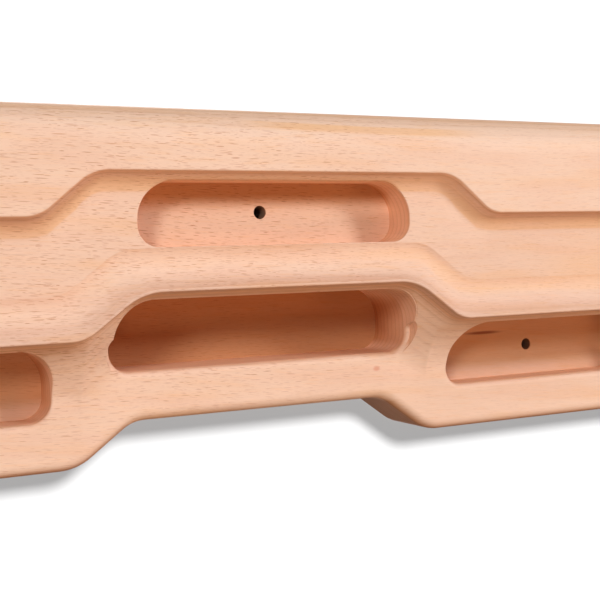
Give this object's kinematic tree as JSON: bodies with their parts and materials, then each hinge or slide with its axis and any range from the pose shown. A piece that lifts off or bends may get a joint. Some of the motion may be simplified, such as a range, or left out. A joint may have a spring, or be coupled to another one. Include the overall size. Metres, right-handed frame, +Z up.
{
  "type": "hangboard",
  "caption": "Wall-mounted wooden climbing hangboard with a rounded top edge, stepped crest lines and rounded finger pockets, milled from a glued-up beech block.",
  "frame": {"origin": "middle of the flat back face: half way along the board, and half way between its lowest and highest edges", "axes": "+X along the board to the right as seen from the front, +Y into the wall, +Z up; the front faces -Y"},
  "size_m": [0.5, 0.06, 0.15],
  "materials": {
    "beech_bottom": "fine-sanded bare beech",
    "beech_lower": "fine-sanded bare beech",
    "beech_upper": "fine-sanded bare beech",
    "beech_top": "fine-sanded bare beech"
  },
  "bodies": {
    "root": {"stave_bottom": "beech_bottom", "stave_lower": "beech_lower", "stave_upper": "beech_upper", "stave_top": "beech_top"}
  },
  "joints": []
}
